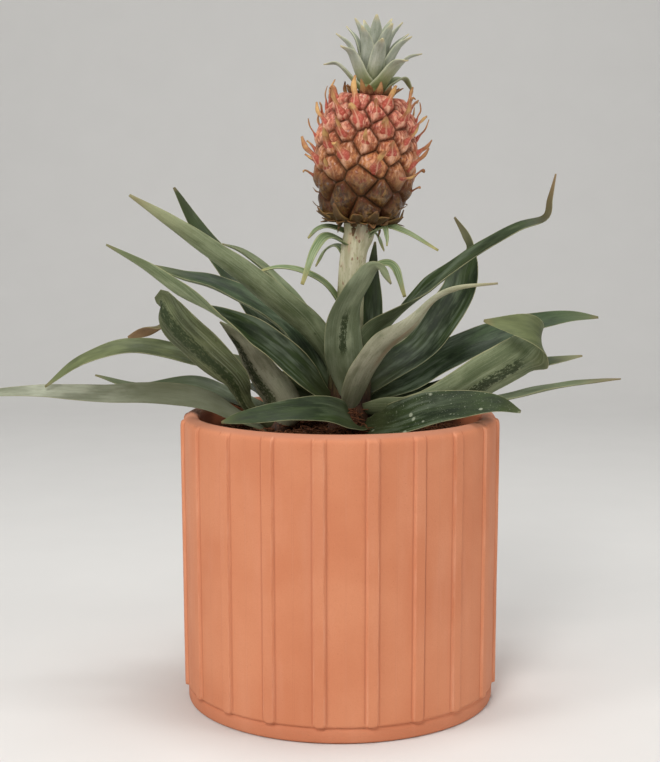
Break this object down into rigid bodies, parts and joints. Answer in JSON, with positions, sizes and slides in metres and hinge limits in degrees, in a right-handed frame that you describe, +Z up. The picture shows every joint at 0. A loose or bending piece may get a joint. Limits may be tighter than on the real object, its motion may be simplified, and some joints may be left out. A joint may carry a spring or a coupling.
{
  "type": "potted pineapple plant",
  "caption": "Dwarf pineapple plant in fruit, with a leaf rosette, a side shoot and a crowned fruit, in a ribbed round terracotta pot.",
  "frame": {"origin": "middle of the pot's flat underside, on the pot's axis", "axes": "+Z up along the pot's axis, -Y towards the front, +X to the right as seen from the front"},
  "size_m": [0.2851, 0.1578, 0.2962],
  "materials": {
    "terracotta": "matte fired clay",
    "coir": "loose brown fibre",
    "stalk": "satin, pale and speckled",
    "leaf": "satin, waxy green",
    "fruit": "satin, bumpy skin",
    "crown": "matte grey-green"
  },
  "bodies": {
    "root": {"pot": "terracotta", "potting_soil": "coir", "main_stem": "stalk", "side_shoot_stem": "stalk", "fruit": "fruit", "crown": "crown", "leaf_left_front_high": "leaf", "leaf_back_upright": "leaf", "leaf_left_inner": "leaf", "leaf_right_long": "leaf", "leaf_front_upright": "leaf", "leaf_left_dark": "leaf", "leaf_right_back_high": "leaf", "leaf_right_narrow": "leaf", "leaf_left_back_high": "leaf", "leaf_left_twisted": "leaf", "leaf_back_centre": "leaf", "leaf_right_folded": "leaf", "leaf_back_left": "leaf", "leaf_back_right": "leaf", "leaf_right_back": "leaf", "leaf_left_arched": "leaf", "leaf_right_level": "leaf", "leaf_back_low": "leaf", "leaf_right_thin": "leaf", "leaf_front_right_low": "leaf", "leaf_front_left_low": "leaf", "leaf_right_inner_low": "leaf", "leaf_shoot_pointed": "leaf", "leaf_shoot_broad": "leaf", "leaf_shoot_level": "leaf", "leaf_shoot_back": "leaf", "leaf_shoot_low": "leaf"}
  },
  "joints": []
}
